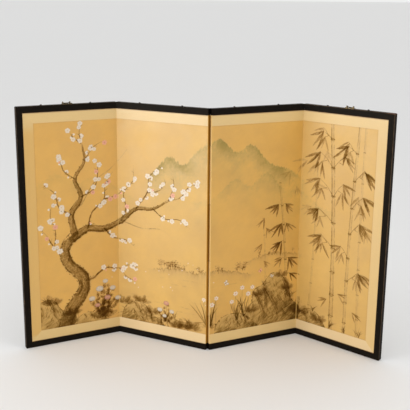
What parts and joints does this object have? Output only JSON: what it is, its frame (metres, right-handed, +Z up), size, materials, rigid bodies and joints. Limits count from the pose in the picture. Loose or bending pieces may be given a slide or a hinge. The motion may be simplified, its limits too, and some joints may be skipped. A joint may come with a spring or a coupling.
{
  "type": "byobu folding screen",
  "caption": "Low Japanese folding screen: papered leaves with painted gold silk faces, black lacquered frame and paper hinges, standing in a zigzag.",
  "frame": {"origin": "middle of the footprint box, on the floor under the screen", "axes": "+Z up; +X along the screen from the leaf on the viewer's left to the one on the right; painted faces look towards -Y"},
  "size_m": [1.3334, 0.2496, 0.9237],
  "materials": {
    "core_cedar": "planed cedar",
    "underpaper": "pasted handmade paper",
    "painted_silk": "gold-toned silk with ink and colour wash",
    "border_silk": "pale woven silk",
    "back_paper": "matte handmade paper",
    "hinge_paper": "gold-toned paper",
    "black_lacquer": "satin black lacquer on wood",
    "iron_nail": "blackened iron",
    "hanger_brass": "aged brass"
  },
  "bodies": {
    "leaf_1": {"leaf_1_core_frame": "core_cedar", "leaf_1_lattice_uprights": "core_cedar", "leaf_1_lattice_crossbars": "core_cedar", "leaf_1_underpaper_front": "underpaper", "leaf_1_underpaper_back": "underpaper", "leaf_1_painted_silk": "painted_silk", "leaf_1_silk_border": "border_silk", "leaf_1_back_paper": "back_paper", "leaf_1_top_rail": "black_lacquer", "leaf_1_bottom_rail": "black_lacquer", "leaf_1_frame_nails": "iron_nail", "leaf_1_outer_stile": "black_lacquer", "hinge_paper_1_2_on_leaf_1": "hinge_paper", "hanger_plate_left": "hanger_brass", "hanger_screws_left": "hanger_brass"},
    "leaf_2": {"leaf_2_core_frame": "core_cedar", "leaf_2_lattice_uprights": "core_cedar", "leaf_2_lattice_crossbars": "core_cedar", "leaf_2_underpaper_front": "underpaper", "leaf_2_underpaper_back": "underpaper", "leaf_2_painted_silk": "painted_silk", "leaf_2_silk_border": "border_silk", "leaf_2_back_paper": "back_paper", "leaf_2_top_rail": "black_lacquer", "leaf_2_bottom_rail": "black_lacquer", "leaf_2_frame_nails": "iron_nail", "hinge_paper_1_2_on_leaf_2": "hinge_paper", "hinge_paper_2_3_on_leaf_2": "hinge_paper"},
    "leaf_3": {"leaf_3_core_frame": "core_cedar", "leaf_3_lattice_uprights": "core_cedar", "leaf_3_lattice_crossbars": "core_cedar", "leaf_3_underpaper_front": "underpaper", "leaf_3_underpaper_back": "underpaper", "leaf_3_painted_silk": "painted_silk", "leaf_3_silk_border": "border_silk", "leaf_3_back_paper": "back_paper", "leaf_3_top_rail": "black_lacquer", "leaf_3_bottom_rail": "black_lacquer", "leaf_3_frame_nails": "iron_nail", "hinge_paper_2_3_on_leaf_3": "hinge_paper", "hinge_paper_3_4_on_leaf_3": "hinge_paper"},
    "leaf_4": {"leaf_4_core_frame": "core_cedar", "leaf_4_lattice_uprights": "core_cedar", "leaf_4_lattice_crossbars": "core_cedar", "leaf_4_underpaper_front": "underpaper", "leaf_4_underpaper_back": "underpaper", "leaf_4_painted_silk": "painted_silk", "leaf_4_silk_border": "border_silk", "leaf_4_back_paper": "back_paper", "leaf_4_top_rail": "black_lacquer", "leaf_4_bottom_rail": "black_lacquer", "leaf_4_frame_nails": "iron_nail", "leaf_4_outer_stile": "black_lacquer", "hinge_paper_3_4_on_leaf_4": "hinge_paper", "hanger_plate_right": "hanger_brass", "hanger_screws_right": "hanger_brass"},
    "bail_left": {"hanging_bail_left": "hanger_brass"},
    "bail_right": {"hanging_bail_right": "hanger_brass"}
  },
  "joints": [
    {"name": "fold_1_2", "type": "hinge", "parent": "leaf_2", "child": "leaf_1", "pos_m": [-0.33427, 0.07648, 0.457], "axis": [0, 0, 1], "range_deg": [-54.24, 125.76]},
    {"name": "fold_2_3", "type": "hinge", "parent": "leaf_2", "child": "leaf_3", "pos_m": [0.0218, -0.06009, 0.457], "axis": [0, 0, 1], "range_deg": [-52.65, 127.35]},
    {"name": "fold_3_4", "type": "hinge", "parent": "leaf_3", "child": "leaf_4", "pos_m": [0.36257, 0.11111, 0.457], "axis": [0, 0, 1], "range_deg": [-112.04, 67.96]},
    {"name": "bail_left_turn", "type": "hinge", "parent": "leaf_1", "child": "bail_left", "pos_m": [-0.50042, -0.01682, 0.9202], "axis": [0.8593, 0.5114, 0], "range_deg": [0, 180]},
    {"name": "bail_right_turn", "type": "hinge", "parent": "leaf_4", "child": "bail_right", "pos_m": [0.51835, -0.00793, 0.9202], "axis": [0.7794, -0.6265, 0], "range_deg": [0, 180]}
  ]
}
